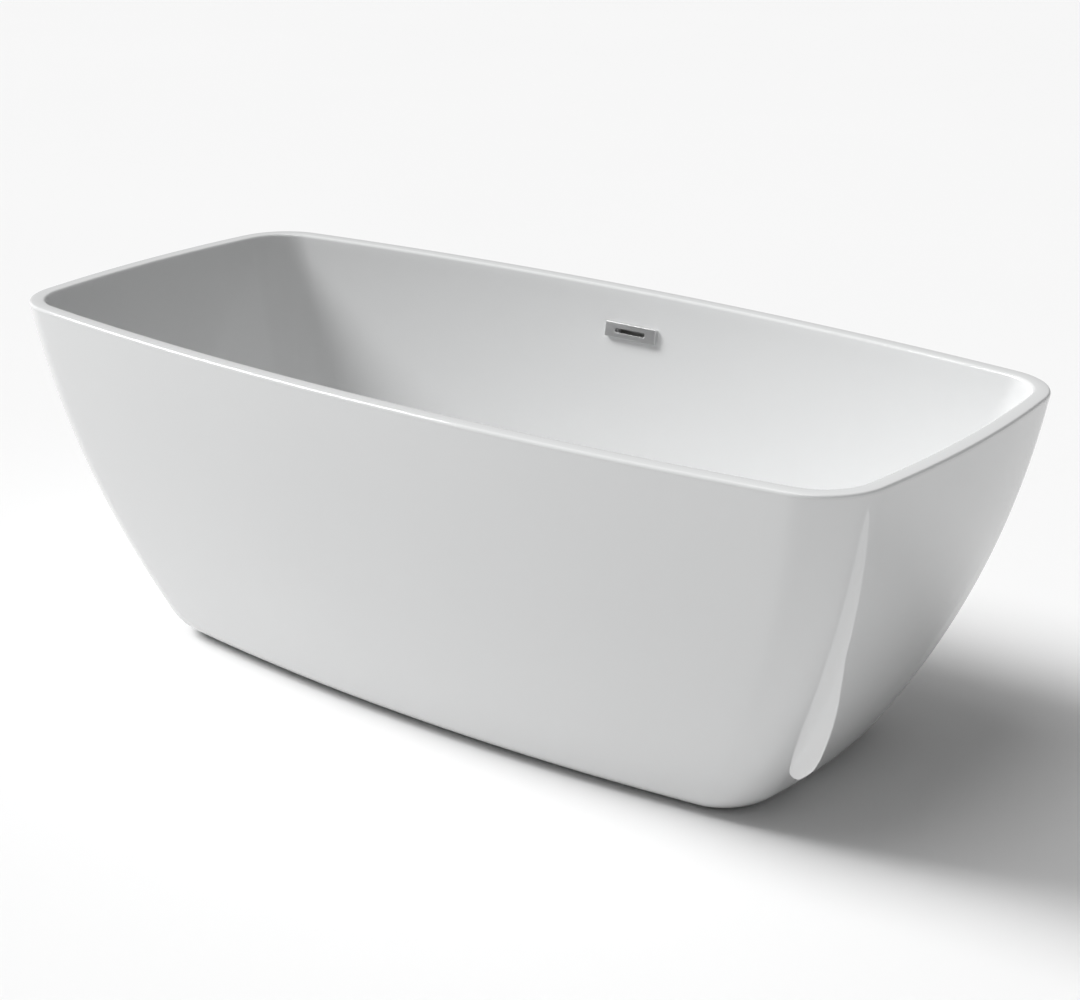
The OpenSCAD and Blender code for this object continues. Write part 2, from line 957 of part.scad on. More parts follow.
module overflow_screws() {
    head = -carrier_gap - carrier_thickness;
    color("silver")
        in_overflow_frame()
            for (side = [-1, 1])
                translate([side * overflow_screw_x, 0, 0])
                    rotate([-90, 0, 0]) {
                        translate([0, 0, head - 2])
                            cylinder(h = 2, r = 3.6);
                        translate([0, 0, head - eps])
                            cylinder(h = 14, r = 1.9);
                    }
}

module overflow_gasket() {
    color("black")
        in_overflow_frame()
            difference() {
                flat_box(92, 27, basin_wall, basin_wall + gasket_thickness);
                stadium(neck_length + 2, neck_height + 2, 0, 20);
                overflow_screw_holes(2.2);
            }
}

module overflow_body() {
    front = basin_wall + gasket_thickness;
    back = front + chamber_depth;
    color("white")
        in_overflow_frame()
            difference() {
                union() {
                    flat_box(92, 27, front, front + 3);
                    flat_box(70, 27, front, back);
                    translate([-spout_length / 2, spout_middle - spout_depth / 2, -spout_end])
                        cube([spout_length, spout_depth, spout_end - 13]);
                }
                flat_box(66, 23, front - 1, back - overflow_wall);
                translate([-spout_length / 2 + overflow_wall, spout_middle - spout_depth / 2 + overflow_wall,
                        -spout_end - 1])
                    cube([spout_length - 2 * overflow_wall, spout_depth - 2 * overflow_wall, spout_end + 1 - 5]);
                overflow_screw_holes(1.9);
            }
}

// Middle of the overflow's spout, across the gap behind the wall
spout_middle = basin_wall + gasket_thickness + chamber_depth / 2;

// Rubber sleeve from the flat spout to the round hose
module overflow_coupling() {
    overlap = 14;
    inner_shift = 0.1;
    round_top = 13;
    color("black")
        in_overflow_frame()
            translate([0, spout_middle, -coupling_end])
                difference() {
                    union() {
                        translate([-spout_length / 2 - 2, -spout_depth / 2 - 2, coupling_grip])
                            cube([spout_length + 4, spout_depth + 4, coupling_end - spout_end - coupling_grip + overlap]);
                        translate([0, -coupling_shift, 0])
                            cylinder(h = round_top, r = coupling_radius);
                    }
                    translate([-spout_length / 2 - inner_shift, -spout_depth / 2 - inner_shift,
                            coupling_end - spout_end])
                        cube([spout_length + 2 * inner_shift, spout_depth + 2 * inner_shift, 40]);
                    translate([-spout_length / 2 + 3, -4, round_top - 3])
                        cube([spout_length - 6, 8, 30]);
                    translate([0, -coupling_shift, -1])
                        cylinder(h = coupling_grip + 1, r = hose_radius + 0.2);
                    translate([0, -coupling_shift, 0])
                        cylinder(h = round_top - 2, r = 7);
                }
}

// A point of the overflow's frame as [y, z] in the plane x = 0
function overflow_point(y, z) = [
    overflow_wall_y + y * cos(overflow_lean) + z * sin(overflow_lean),
    overflow_height - y * sin(overflow_lean) + z * cos(overflow_lean)
];

hose_middle = concat(
    [for (up = [coupling_grip - 0.5, 0])
        overflow_point(spout_middle - coupling_shift, up - coupling_end)],
    hose_route
);

function route_direction(i) =
    i == 0 ? [sin(-overflow_lean), -cos(overflow_lean)] :
    let(from = hose_middle[i - 1], to = hose_middle[min(i + 1, len(hose_middle) - 1)])
    (to - from) / norm(to - from);

module overflow_hose() {
    sides = 12;
    color("lightgray")
        skin([
            for (i = [0 : len(hose_middle) - 1])
                let(way = route_direction(i), across = [-way.y, way.x])
                [for (j = [sides - 1 : -1 : 0])
                    let(turn = 360 * j / sides, out = across * hose_radius * cos(turn))
                    [hose_radius * sin(turn), hose_middle[i].x + out.x, hose_middle[i].y + out.y]]
        ]);
}

// Clip that holds the hose against the underside of the back rail
module hose_clip() {
    top = frame_bottom;
    color("silver")
        translate([0, rail_y, 0])
            difference() {
                union() {
                    translate([-22, -6, top - strip_thickness])
                        cube([44, 12, strip_thickness]);
                    translate([-hose_radius - 3, -6, inlet_height - hose_radius])
                        cube([2 * hose_radius + 6, 12, top - inlet_height + hose_radius]);
                }
                translate([-hose_radius - 0.5, -7, inlet_height - hose_radius - 1])
                    cube([2 * hose_radius + 1, 14, top - strip_thickness - inlet_height + hose_radius + 1]);
            }
}

basin();
outer_skirt();
base_board();
rail_front();
rail_back();
cross_members();
rail_end_caps();
foot_brackets();
weld_nuts();
lock_nuts();
foot_stud_front_left();
foot_stud_front_right();
foot_stud_back_left();
foot_stud_back_right();
foot_pad_front_left();
foot_pad_front_right();
foot_pad_back_left();
foot_pad_back_right();
frame_screws();
skirt_brackets();
bracket_screws();
skirt_screws();
waste_flange();
waste_top_seal();
waste_bottom_seal();
waste_body();
plug_cartridge();
plug_spring();
plug_stem();
plug_seal();
plug_cap();
trap_bowl();
trap_nut();
trap_seal();
outlet_nut();
outlet_seal();
outlet_pipe();
overflow_cover();
overflow_carrier();
overflow_screws();
overflow_gasket();
overflow_body();
overflow_coupling();
overflow_hose();
hose_clip();
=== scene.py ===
"""Looks of a freestanding double-skin bath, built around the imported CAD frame. Metres, +Z up."""

import json
import math

import bmesh
import bpy
from mathutils import Matrix, Vector

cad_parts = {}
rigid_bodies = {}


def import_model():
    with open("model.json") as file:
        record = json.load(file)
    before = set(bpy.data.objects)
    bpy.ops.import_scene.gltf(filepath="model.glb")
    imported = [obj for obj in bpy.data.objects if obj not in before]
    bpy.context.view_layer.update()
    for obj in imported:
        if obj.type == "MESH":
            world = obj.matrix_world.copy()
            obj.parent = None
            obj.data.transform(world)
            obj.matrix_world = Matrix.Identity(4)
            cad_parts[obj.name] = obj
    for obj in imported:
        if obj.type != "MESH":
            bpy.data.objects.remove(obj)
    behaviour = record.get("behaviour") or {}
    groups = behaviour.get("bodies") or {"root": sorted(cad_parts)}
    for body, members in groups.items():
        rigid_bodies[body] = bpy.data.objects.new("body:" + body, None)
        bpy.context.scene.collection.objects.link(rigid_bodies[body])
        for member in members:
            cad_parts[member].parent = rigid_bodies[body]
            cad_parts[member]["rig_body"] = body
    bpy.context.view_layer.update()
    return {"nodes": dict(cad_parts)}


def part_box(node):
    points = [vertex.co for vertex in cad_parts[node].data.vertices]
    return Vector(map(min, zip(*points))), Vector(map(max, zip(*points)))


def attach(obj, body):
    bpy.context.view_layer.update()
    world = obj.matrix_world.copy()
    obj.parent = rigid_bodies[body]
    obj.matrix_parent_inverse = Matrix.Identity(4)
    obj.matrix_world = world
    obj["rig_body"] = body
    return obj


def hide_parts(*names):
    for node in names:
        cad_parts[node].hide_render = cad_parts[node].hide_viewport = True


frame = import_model()

MM = 0.001
QUARTER_TURN = math.pi / 2

# Places taken from the frame
bath_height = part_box("basin")[1].z
floor_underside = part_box("base_board")[1].z

# Driving dimensions of the two shells. A bow's keep is the share of its radius left at the wall's
# foot, and a draw holds the straight share and the power of the curve that a wall comes in by.
half_length = 850 * MM
half_width = 395 * MM
rim_width = 28 * MM
rim_edge = 5 * MM
corner_radius = 112 * MM
side_bow_radius = 5300 * MM
end_bow_radius = 2080 * MM
skirt_half_length = 616 * MM
skirt_half_width = 256.5 * MM
skirt_corner_radius = 95 * MM
side_bow_keep = 0.777
end_bow_keep = 0.524
skirt_wall = 6 * MM
skirt_curve = 42 * MM
skirt_gap = 3 * MM
basin_wall = 6 * MM
basin_half_length = 600 * MM
basin_half_width = 242 * MM
basin_corner_radius = 110 * MM
skirt_end_draw = (0.37, 2.22)
skirt_side_draw = (0.494, 2.025)
basin_draw = (0.4, 1.8)
floor_height = floor_underside + basin_wall
floor_fall = 6 * MM
floor_curve = 55 * MM
flange_inset = 50 * MM
flange_thickness = 5 * MM
seam_height = bath_height - rim_edge - 1 * MM
seam_line = 0.1 * MM
lip_inset = skirt_wall + 1 * MM
lip_thickness = 5 * MM
lip_drop = 30 * MM

# The waste hole and the recess that its flange lies in
waste_hole_radius = 26 * MM
recess_radius = 36 * MM
recess_depth = 2 * MM
drain_circle_radius = 40 * MM
recess_edge = 0.6 * MM

# The overflow's hole in the wall, and the height over which the wall's lean is measured
slot_reach = 23 * MM
slot_half_height = 8 * MM
slot_cut_depth = 15 * MM
slope_span = 20 * MM

# The waste's chrome flange, and the domed plug on it: the share of its height that curves, the
# angle that the dome's arc runs through in radians, and its reach as a share of the plug's radius
flange_bore_radius = 22.5 * MM
flange_tail_radius = 25.5 * MM
flange_lip = 2.5 * MM
flange_chamfer = 1.2 * MM
dome_share = 0.48
dome_turn = 1.25
dome_reach = 0.985

# The levelling studs
thread_pitch = 1.75 * MM
thread_root_radius = 5.1 * MM
thread_radius = 6 * MM
hexagon_radius = 10 * MM
hexagon_height = 6 * MM
hexagon_chamfer = 0.8 * MM

# The corrugated hose: its ribs, its plain cuffs and the stretch of it inside the coupling.
# The last three are shares of the hose's CAD radius.
rib_pitch = 4 * MM
cuff_length = 20 * MM
hose_in_coupling = 33 * MM
cuff_share = 0.97
rib_mean = 0.925
rib_swing = 0.07

# Straight steps in each arc of the plan outline, up each wall and round each small edge
END_STEPS = 10
CORNER_STEPS = 18
SIDE_STEPS = 24
WALL_STEPS = 26
CURVE_STEPS = 12
EDGE_STEPS = 5


# Plain helpers


def mix(start, stop, share):
    return start + (stop - start) * share


def steps(start, stop, count):
    """count + 1 even steps from start to stop."""
    return [mix(start, stop, i / count) for i in range(count + 1)]


def arc(centre, radius, start, stop, count):
    return [centre + radius * Vector((math.cos(a), math.sin(a))) for a in steps(start, stop, count)[:-1]]


# Shells: the plan outline at each height is four long bows joined by corner arcs


def drawn_in(share, straight, power):
    """How far a wall has come in, from 0 at the rim to 1 at its foot."""
    return straight * share + (1 - straight) * share**power


def outer_section(z):
    """Half length, half width, corner radius, side radius and end radius of the skirt at a height."""
    share = 1 - z / bath_height
    return (
        mix(half_length, skirt_half_length, drawn_in(share, *skirt_end_draw)),
        mix(half_width, skirt_half_width, drawn_in(share, *skirt_side_draw)),
        mix(corner_radius, skirt_corner_radius, share),
        mix(side_bow_radius, side_bow_radius * side_bow_keep, share),
        mix(end_bow_radius, end_bow_radius * end_bow_keep, share),
    )


def inner_section(z):
    """The same five sizes of the basin's inside."""
    share = (bath_height - z) / (bath_height - floor_height - floor_fall)
    way_in = drawn_in(share, *basin_draw)
    side_radius = side_bow_radius - rim_width
    end_radius = end_bow_radius - rim_width
    return (
        mix(half_length - rim_width, basin_half_length, way_in),
        mix(half_width - rim_width, basin_half_width, way_in),
        mix(corner_radius - rim_width, basin_corner_radius, share),
        mix(side_radius, side_radius * side_bow_keep, share),
        mix(end_radius, end_radius * end_bow_keep, share),
    )


def quarter_outline(section):
    """Points from the middle of the end to the middle of the side."""
    half_x, half_y, corner_r, side_r, end_r = section
    side = Vector((0, half_y - side_r))
    end = Vector((half_x - end_r, 0))
    to_side, to_end = side_r - corner_r, end_r - corner_r
    step = end - side
    gap = step.length
    along = (to_side**2 - to_end**2 + gap**2) / (2 * gap)
    square = Vector((step.y, -step.x))
    corner = side + step * along / gap + square * math.sqrt(to_side**2 - along**2) / gap
    turn_in = math.atan2(corner.y - end.y, corner.x - end.x)
    turn_out = math.atan2(corner.y - side.y, corner.x - side.x)
    points = arc(end, end_r, 0, turn_in, END_STEPS)
    points += arc(corner, corner_r, turn_in, turn_out, CORNER_STEPS)
    points += arc(side, side_r, turn_out, QUARTER_TURN, SIDE_STEPS)
    return points + [Vector((0, half_y))]


def outline(section):
    part = quarter_outline(section)
    mirrored = [Vector((-p.x, p.y)) for p in reversed(part[1:])]
    half = part[:-1] + mirrored
    return half + [-p for p in half]


def section_ring(section, inset, z):
    return [Vector((p.x, p.y, z)) for p in outline([size - inset for size in section])]


def outer_ring(z, inset=0):
    return section_ring(outer_section(z), inset, z)


def inner_ring(z, inset=0):
    return section_ring(inner_section(z), inset, z)


def floor_rings():
    """Rings from the underside of the waste hole, over the recess, out to the edge of the floor."""
    edge = inner_ring(floor_height + floor_fall, floor_curve)
    seat = floor_height - recess_depth
    profile = [
        (waste_hole_radius, floor_underside),
        (waste_hole_radius, seat - recess_edge),
        (waste_hole_radius + recess_edge, seat),
        (recess_radius, seat),
        (recess_radius, floor_height - recess_edge),
        (recess_radius + recess_edge * 0.3, floor_height - recess_edge * 0.3),
        (recess_radius + recess_edge, floor_height),
        (drain_circle_radius, floor_height),
    ]
    ways = [Vector((p.x, p.y, 0)).normalized() for p in edge]
    rings = [[way * radius + Vector((0, 0, z)) for way in ways] for radius, z in profile]
    for share in (0.08, 0.2, 0.35, 0.5, 0.65, 0.82):
        rings.append([mix(a, b, share) for a, b in zip(rings[len(profile) - 1], edge)])
    return rings


def basin_rings():
    wall_foot = floor_height + floor_fall + floor_curve
    wall_head = bath_height - rim_edge
    under = wall_foot - floor_underside
    rings = floor_rings()
    for turn in steps(0, QUARTER_TURN, CURVE_STEPS):
        rings.append(inner_ring(wall_foot - floor_curve * math.cos(turn), floor_curve * (1 - math.sin(turn))))
    rings += [inner_ring(z) for z in steps(wall_foot, wall_head, WALL_STEPS)[1:-1]]
    for turn in steps(0, QUARTER_TURN, EDGE_STEPS):
        rings.append(inner_ring(wall_head + rim_edge * math.sin(turn), -rim_edge * (1 - math.cos(turn))))
    for turn in steps(0, QUARTER_TURN, EDGE_STEPS):
        rings.append(outer_ring(wall_head + rim_edge * math.cos(turn), rim_edge * (1 - math.sin(turn))))
    inset = lip_inset + lip_thickness
    rings += [outer_ring(seam_height + seam_line), outer_ring(seam_height + seam_line, lip_inset)]
    rings += [outer_ring(seam_height - lip_drop, lip_inset), outer_ring(seam_height - lip_drop, inset)]
    rings.append(outer_ring(seam_height, inset))
    rings += [inner_ring(z, -basin_wall) for z in steps(seam_height, wall_foot, WALL_STEPS)]
    for turn in steps(QUARTER_TURN, 0, CURVE_STEPS)[1:]:
        inset = floor_curve - (floor_curve + basin_wall) * math.sin(turn)
        rings.append(inner_ring(wall_foot - under * math.cos(turn), inset))
    return rings


def skirt_rings():
    inner_curve = skirt_curve - skirt_wall
    turn_end = math.acos((skirt_curve - skirt_gap) / skirt_curve)
    inner_end = math.acos((skirt_curve - skirt_gap - flange_thickness) / inner_curve)
    rings = [outer_ring(z) for z in steps(seam_height, skirt_curve, WALL_STEPS)]
    for turn in steps(QUARTER_TURN, turn_end, CURVE_STEPS)[1:]:
        rings.append(outer_ring(skirt_curve * (1 - math.cos(turn)), skirt_curve * (1 - math.sin(turn))))
    rings += [outer_ring(skirt_gap, flange_inset), outer_ring(skirt_gap + flange_thickness, flange_inset)]
    for turn in steps(inner_end, QUARTER_TURN, CURVE_STEPS)[:-1]:
        rings.append(outer_ring(skirt_curve - inner_curve * math.cos(turn),
                                skirt_curve - inner_curve * math.sin(turn)))
    rings += [outer_ring(z, skirt_wall) for z in steps(skirt_curve, seam_height, WALL_STEPS)]
    return rings


# Mesh building


def skin(bm, rings, around=True, closed=False, capped=False):
    """Quads between rings of equal length.

    around joins each ring's ends, and closed joins the last ring to the first.
    """
    rows = [[bm.verts.new(p) for p in ring] for ring in rings]
    count = len(rings[0])
    pairs = list(zip(rows, rows[1:])) + ([(rows[-1], rows[0])] if closed else [])
    for here, after in pairs:
        for j in range(count if around else count - 1):
            k = (j + 1) % count
            bm.faces.new((here[j], here[k], after[k], after[j]))
    if capped:
        bm.faces.new(rows[0])
        bm.faces.new(rows[-1])


def piece(name, bm, material, body="root", replaces=(), sharp_degrees=35):
    """Turns a bmesh into a finished object that rides on a body."""
    bmesh.ops.recalc_face_normals(bm, faces=bm.faces)
    mesh = bpy.data.meshes.new(name)
    bm.to_mesh(mesh)
    bm.free()
    mesh.shade_smooth()
    mesh.set_sharp_from_angle(angle=math.radians(sharp_degrees))
    mesh.materials.append(material)
    obj = bpy.data.objects.new(name, mesh)
    bpy.context.scene.collection.objects.link(obj)
    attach(obj, body)
    if replaces:
        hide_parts(*replaces)
    return obj


def lathe_rings(profile, sides):
    """Rings of a turned shape; profile holds (radius, height) pairs."""
    turns = [2 * math.pi * j / sides for j in range(sides)]
    ways = [Vector((math.cos(turn), math.sin(turn), 0)) for turn in turns]
    return [[way * radius + Vector((0, 0, z)) for way in ways] for radius, z in profile]


def rounded(points, radius, count=4):
    """A profile's points with each inner corner rounded."""
    made = [points[0]]
    for before, here, after in zip(points, points[1:], points[2:]):
        a, b, c = Vector(before), Vector(here), Vector(after)
        reach = min(radius, (a - b).length * 0.45, (c - b).length * 0.45)
        start, stop = b + (a - b).normalized() * reach, b + (c - b).normalized() * reach
        for share in steps(0, 1, count):
            made.append(tuple(mix(mix(start, b, share), mix(b, stop, share), share)))
    return made + [points[-1]]


def lathe(bm, profile, sides=64):
    """A turned solid whose profile starts and ends on the axis or closes on itself."""
    closed = profile[0][0] > 0 and profile[-1][0] > 0
    inner = [p for p in profile if p[0] > 0]
    rings = lathe_rings(inner, sides)
    skin(bm, rings, closed=closed)
    if closed:
        return
    bm.verts.ensure_lookup_table()
    first = len(bm.verts) - len(inner) * sides
    for end, start in ((profile[0], first), (profile[-1], len(bm.verts) - sides)):
        tip = bm.verts.new((0, 0, end[1]))
        bm.verts.ensure_lookup_table()
        for j in range(sides):
            bm.faces.new((bm.verts[start + j], bm.verts[start + (j + 1) % sides], tip))


def smooth_path(points, spacing):
    """Even points along a smooth curve through the given ones."""
    ends = [points[0] * 2 - points[1]] + points + [points[-1] * 2 - points[-2]]
    fine = []
    for a, b, c, d in zip(ends, ends[1:], ends[2:], ends[3:]):
        for t in steps(0, 1, 24)[:-1]:
            fine.append(0.5 * (2 * b + (c - a) * t + (2 * a - 5 * b + 4 * c - d) * t**2
                               + (3 * b - a - 3 * c + d) * t**3))
    fine.append(points[-1])
    walked, made = 0.0, [fine[0]]
    for a, b in zip(fine, fine[1:]):
        gap = (b - a).length
        while walked + gap >= spacing * len(made):
            made.append(a.lerp(b, (spacing * len(made) - walked) / gap))
        walked += gap
    return made


def tube_rings(path, radii, sides, level):
    """Rings of a tube round a path that keeps square to the level axis."""
    rings = []
    last = len(path) - 1
    for i, (point, radius) in enumerate(zip(path, radii)):
        way = (path[min(i + 1, last)] - path[max(i - 1, 0)]).normalized()
        side = level.cross(way).normalized()
        top = way.cross(side)
        turns = [2 * math.pi * j / sides for j in range(sides)]
        rings.append([point + radius * (side * math.cos(a) + top * math.sin(a)) for a in turns])
    return rings


# Materials


class Surface:
    """A material under construction, with short ways to add its nodes."""

    def __init__(self, name, **sockets):
        self.material = bpy.data.materials.new(name)
        self.material.use_nodes = True
        self.tree = self.material.node_tree
        self.shader = self.tree.nodes["Principled BSDF"]
        for socket, value in sockets.items():
            self.shader.inputs[socket.replace("_", " ")].default_value = value
        self.place = self.node("ShaderNodeTexCoord").outputs["Object"]

    def node(self, kind, **settings):
        made = self.tree.nodes.new(kind)
        for key, value in settings.items():
            setattr(made, key, value)
        return made

    def link(self, start, stop):
        self.tree.links.new(start, stop)

    def stretched(self, x, y, z):
        """The object's own coordinates, scaled along each axis."""
        mapping = self.node("ShaderNodeMapping")
        mapping.inputs["Scale"].default_value = (x, y, z)
        self.link(self.place, mapping.inputs["Vector"])
        return mapping.outputs["Vector"]

    def noise(self, scale, detail=2.0, vector=None):
        made = self.node("ShaderNodeTexNoise")
        made.inputs["Scale"].default_value = scale
        made.inputs["Detail"].default_value = detail
        self.link(vector or self.place, made.inputs["Vector"])
        return made.outputs["Fac"]

    def cells(self, scale, vector=None):
        made = self.node("ShaderNodeTexVoronoi")
        made.inputs["Scale"].default_value = scale
        self.link(vector or self.place, made.inputs["Vector"])
        return made.outputs["Color"]

    def levels(self, source, low, high, start=0.0, stop=1.0):
        """source from start..stop spread over low..high."""
        made = self.node("ShaderNodeMapRange")
        for socket, value in (("From Min", start), ("From Max", stop), ("To Min", low), ("To Max", high)):
            made.inputs[socket].default_value = value
        self.link(source, made.inputs["Value"])
        return made.outputs["Result"]

    def blend(self, share, first, second):
        """A colour between two, by a share."""
        made = self.node("ShaderNodeMix", data_type="RGBA")
        for socket, value in (("A", first), ("B", second)):
            target = next(i for i in made.inputs if i.name == socket and i.type == "RGBA")
            if isinstance(value, tuple):
                target.default_value = (*value, 1)
            else:
                self.link(value, target)
        self.link(share, made.inputs["Factor"])
        return next(o for o in made.outputs if o.type == "RGBA")

    def colour(self, source):
        self.link(source, self.shader.inputs["Base Color"])

    def roughness(self, source):
        self.link(source, self.shader.inputs["Roughness"])

    def bump(self, height, depth, strength=1.0):
        made = self.node("ShaderNodeBump")
        made.inputs["Distance"].default_value = depth
        made.inputs["Strength"].default_value = strength
        self.link(height, made.inputs["Height"])
        self.link(made.outputs["Normal"], self.shader.inputs["Normal"])


def acrylic():
    """Gloss white sheet acrylic: a faint drift in shade and gloss, and a soft orange peel."""
    s = Surface("white_acrylic", IOR=1.49)
    s.colour(s.blend(s.noise(2.5), (0.742, 0.748, 0.75), (0.765, 0.77, 0.77)))
    s.roughness(s.levels(s.noise(9, 3), 0.03, 0.07, 0.3, 0.7))
    s.bump(s.noise(160, 1), 0.05 * MM, 0.12)
    return s.material


def brushed_metal():
    """Satin stainless, brushed along its length."""
    s = Surface("brushed_trim", Metallic=1.0, Anisotropic=0.6)
    lines = s.noise(60, 4, s.stretched(1, 30, 30))
    s.colour(s.blend(lines, (0.8, 0.8, 0.802), (0.9, 0.9, 0.902)))
    s.roughness(s.levels(lines, 0.3, 0.46, 0.3, 0.7))
    s.bump(lines, 0.04 * MM, 0.3)
    return s.material


def chrome():
    """Bright chrome plate with a faint unevenness in its gloss."""
    s = Surface("chrome_trim", Metallic=1.0)
    s.colour(s.blend(s.noise(30), (0.8, 0.81, 0.83), (0.86, 0.87, 0.88)))
    s.roughness(s.levels(s.noise(220, 4), 0.04, 0.12, 0.4, 0.75))
    s.bump(s.noise(90, 1), 0.02 * MM, 0.15)
    return s.material


def zinc_steel():
    """Bright zinc plate with its pale and dark crystals and a few dull patches."""
    s = Surface("zinc_steel", Metallic=1.0)
    crystals = s.cells(180)
    s.colour(s.blend(s.levels(crystals, 0, 1), (0.5, 0.52, 0.55), (0.66, 0.68, 0.7)))
    s.roughness(s.levels(s.noise(24, 5), 0.28, 0.55, 0.3, 0.7))
    s.bump(s.noise(500, 3), 0.05 * MM, 0.3)
    return s.material


def plywood():
    """Birch plywood: long grain on the faces, and its plies in dark glue lines round the edge."""
    s = Surface("board_wood", Roughness=0.6)
    grain = s.noise(9, 6, s.stretched(1, 14, 14))
    pores = s.noise(40, 4, s.stretched(1, 30, 1))
    face = s.blend(s.levels(grain, 0, 1, 0.3, 0.7), (0.5, 0.34, 0.19), (0.68, 0.51, 0.32))
    plies = s.node("ShaderNodeTexWave", wave_type="BANDS", bands_direction="Z", wave_profile="SIN")
    plies.inputs["Scale"].default_value = 130
    plies.inputs["Distortion"].default_value = 0.6
    s.link(s.place, plies.inputs["Vector"])
    edge = s.blend(s.levels(plies.outputs["Fac"], 0, 1, 0.25, 0.6), (0.24, 0.15, 0.08), (0.62, 0.46, 0.29))
    split = s.node("ShaderNodeSeparateXYZ")
    s.link(s.node("ShaderNodeNewGeometry").outputs["Normal"], split.inputs["Vector"])
    flat = s.node("ShaderNodeMath", operation="ABSOLUTE")
    s.link(split.outputs["Z"], flat.inputs[0])
    s.colour(s.blend(s.levels(flat.outputs["Value"], 0, 1, 0.4, 0.6), edge, face))
    s.bump(pores, 0.2 * MM, 0.4)
    return s.material


def plastic(name, dark, light, gloss_low, gloss_high, grain):
    """Moulded plastic or rubber: a slight drift in shade, and a fine moulded grain."""
    s = Surface(name, IOR=1.5)
    s.colour(s.blend(s.noise(18, 3), dark, light))
    s.roughness(s.levels(s.noise(45, 4), gloss_low, gloss_high, 0.3, 0.7))
    s.bump(s.noise(1400, 2), grain, 0.5)
    return s.material


materials = {
    "white_acrylic": acrylic(),
    "brushed_trim": brushed_metal(),
    "chrome_trim": chrome(),
    "zinc_steel": zinc_steel(),
    "board_wood": plywood(),
}

# Each moulded material's dark and light shade, its lowest and highest roughness, and its grain in mm
plastics = {
    "white_plastic": ((0.74, 0.74, 0.72), (0.82, 0.82, 0.8), 0.28, 0.42, 0.03),
    "grey_plastic": ((0.3, 0.31, 0.32), (0.38, 0.39, 0.4), 0.35, 0.5, 0.05),
    "carrier_plastic": ((0.6, 0.6, 0.6), (0.68, 0.68, 0.68), 0.4, 0.55, 0.04),
    "black_plastic": ((0.02, 0.02, 0.021), (0.035, 0.035, 0.037), 0.4, 0.55, 0.06),
    "black_rubber": ((0.012, 0.012, 0.012), (0.025, 0.025, 0.025), 0.6, 0.8, 0.12),
}
for name, (dark, light, gloss_low, gloss_high, grain) in plastics.items():
    materials[name] = plastic(name, dark, light, gloss_low, gloss_high, grain * MM)


def cad_finish(nodes, slot, edge):
    """CAD nodes whose shape is right keep it, and get a finish and softened edges."""
    for name in nodes:
        obj = frame["nodes"][name]
        obj.data.materials.clear()
        obj.data.materials.append(materials[slot])
        weld = obj.modifiers.new("weld", "WELD")
        weld.merge_threshold = 0.01 * MM
        bevel = obj.modifiers.new("edges", "BEVEL")
        bevel.width = edge
        bevel.segments = 2
        bevel.limit_method = "ANGLE"
        bevel.angle_limit = math.radians(32)
        bevel.use_clamp_overlap = True
        obj.modifiers.new("shading", "WEIGHTED_NORMAL")


# Pieces


def cut_overflow(basin):
    """Cuts the overflow's round-ended hole through the basin's far wall, behind the cover."""
    low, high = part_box("overflow_carrier")
    middle = (low + high) / 2
    wall_above = inner_section(middle.z + slope_span / 2)[1]
    wall_below = inner_section(middle.z - slope_span / 2)[1]
    lean = math.atan2(wall_above - wall_below, slope_span)
    right_end = arc(Vector((slot_reach, 0)), slot_half_height, -QUARTER_TURN, QUARTER_TURN, CURVE_STEPS)
    left_end = arc(Vector((-slot_reach, 0)), slot_half_height, QUARTER_TURN, 3 * QUARTER_TURN, CURVE_STEPS)
    sides = (-slot_cut_depth, slot_cut_depth)
    bm = bmesh.new()
    skin(bm, [[Vector((p.x, y, p.y)) for p in right_end + left_end] for y in sides], capped=True)
    place = Matrix.Translation((0, inner_section(middle.z)[1], middle.z)) @ Matrix.Rotation(-lean, 4, "X")
    bmesh.ops.transform(bm, matrix=place, verts=bm.verts)
    bmesh.ops.recalc_face_normals(bm, faces=bm.faces)
    mesh = bpy.data.meshes.new("cutter")
    bm.to_mesh(mesh)
    bm.free()
    cutter = bpy.data.objects.new("cutter", mesh)
    bpy.context.scene.collection.objects.link(cutter)
    cut = basin.modifiers.new("overflow", "BOOLEAN")
    cut.object = cutter
    cut.operation = "DIFFERENCE"
    cut.solver = "EXACT"
    bpy.context.view_layer.update()
    made = bpy.data.meshes.new_from_object(basin.evaluated_get(bpy.context.evaluated_depsgraph_get()))
    basin.modifiers.clear()
    basin.data = made
    made.set_sharp_from_angle(angle=math.radians(35))
    bpy.data.objects.remove(cutter)


def make_shells():
    """The basin with its rim, and the skirt round it."""
    bm = bmesh.new()
    skin(bm, basin_rings(), closed=True)
    basin = piece("basin_shell", bm, materials["white_acrylic"], replaces=["basin"])
    cut_overflow(basin)
    bm = bmesh.new()
    skin(bm, skirt_rings(), closed=True)
    piece("skirt_shell", bm, materials["white_acrylic"], replaces=["outer_skirt"])


